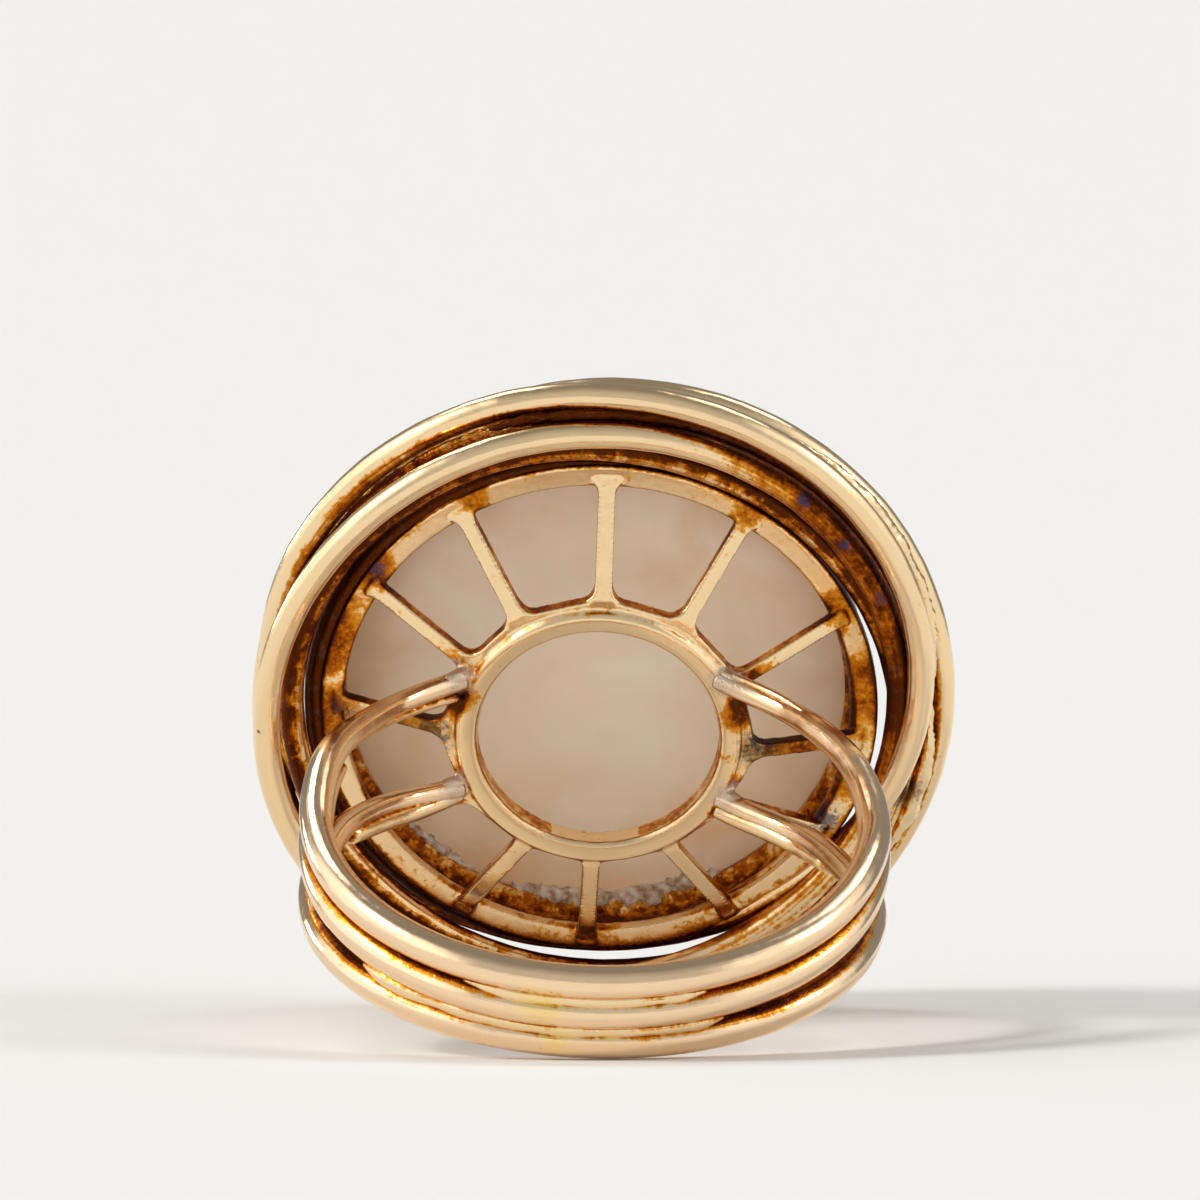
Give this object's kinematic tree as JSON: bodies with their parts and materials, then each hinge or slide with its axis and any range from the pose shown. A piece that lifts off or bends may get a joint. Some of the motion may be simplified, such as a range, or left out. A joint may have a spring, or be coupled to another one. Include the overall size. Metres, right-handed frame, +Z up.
{
  "type": "cocktail ring, domed pearl in a round bezel with an openwork back",
  "caption": "Gold cocktail ring lying on its side: domed mabe pearl in a round bezel, spoked openwork gallery behind it, interlaced wires round it and a shank of three wires.",
  "frame": {"origin": "on the floor, under the centre of the bounding box of the ring as it rests", "axes": "+Z up, +Y the way the pearl faces, seen from above; +X to the right for a viewer behind the shank"},
  "size_m": [0.0238, 0.0282, 0.0217],
  "materials": {
    "gold": "polished, tarnished in the recesses",
    "nacre": "pearly",
    "shell": "satin, cloudy"
  },
  "bodies": {
    "root": {"mounting": "gold", "pearl_dome": "nacre", "pearl_backing": "shell"}
  },
  "joints": []
}
